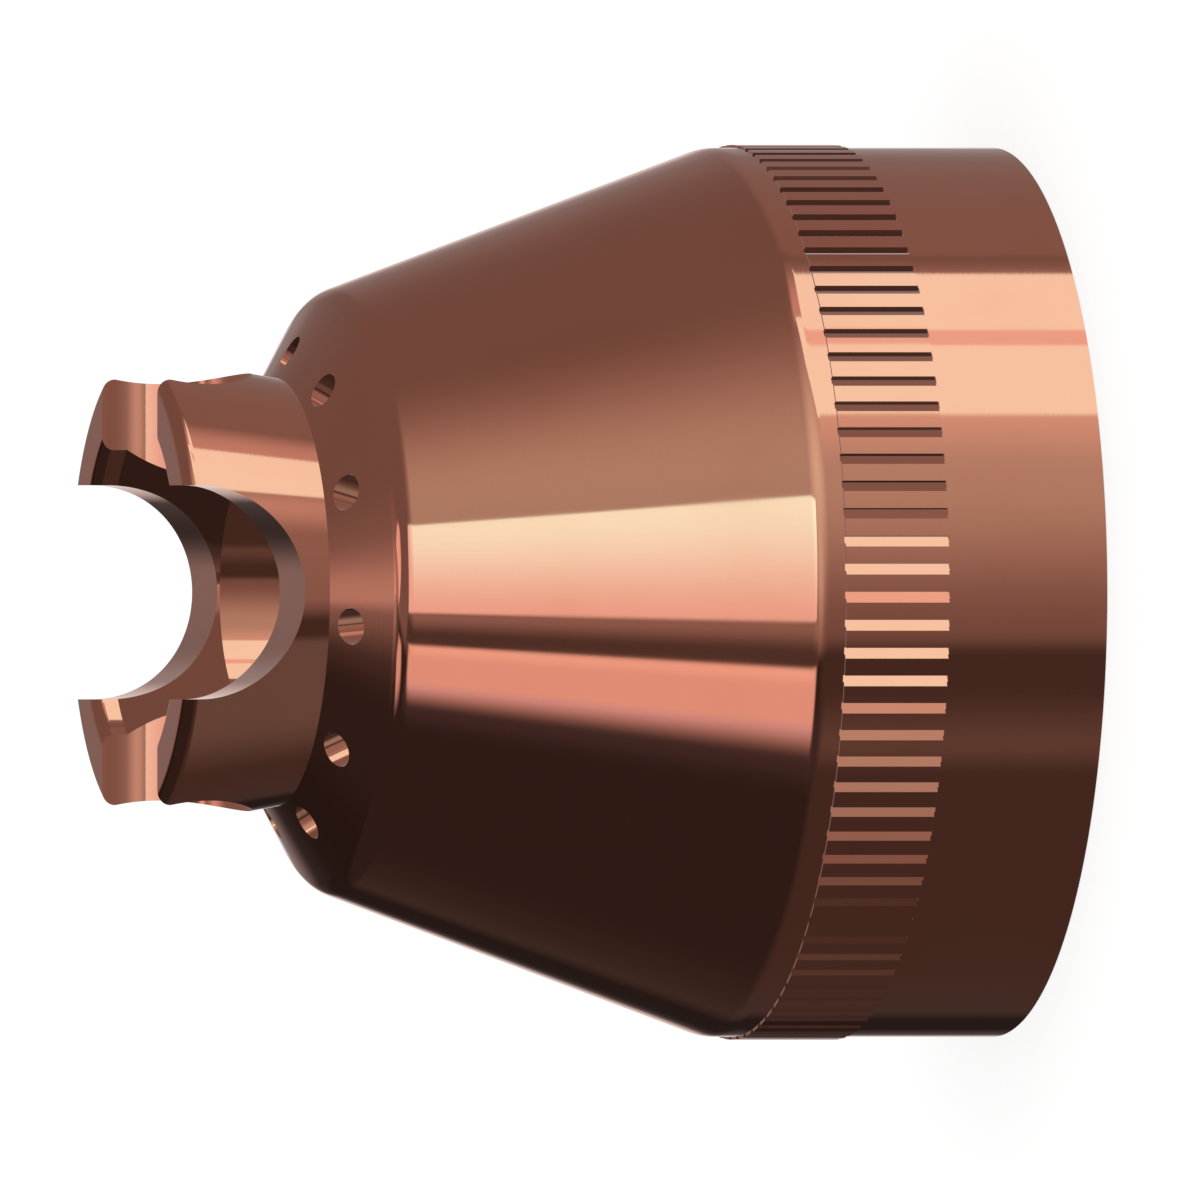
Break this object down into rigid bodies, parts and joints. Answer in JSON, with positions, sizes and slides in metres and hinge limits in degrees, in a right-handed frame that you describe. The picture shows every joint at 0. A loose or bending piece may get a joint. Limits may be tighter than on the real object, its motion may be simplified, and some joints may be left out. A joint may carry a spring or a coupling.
{
  "type": "plasma torch shield",
  "caption": "Copper shield for a plasma cutting torch: a hollow cone with a slotted crown, vent holes in its nose, a grooved grip band and a threaded skirt that screws over the nozzle.",
  "frame": {"origin": "centre of the rear rim, on the axis", "axes": "+Z along the axis from the rear rim towards the crown, +X through the first vent hole and one slot of the crown"},
  "size_m": [0.0266, 0.0266, 0.0265],
  "materials": {
    "copper": "polished turned copper"
  },
  "bodies": {
    "root": {"shield": "copper"}
  },
  "joints": []
}
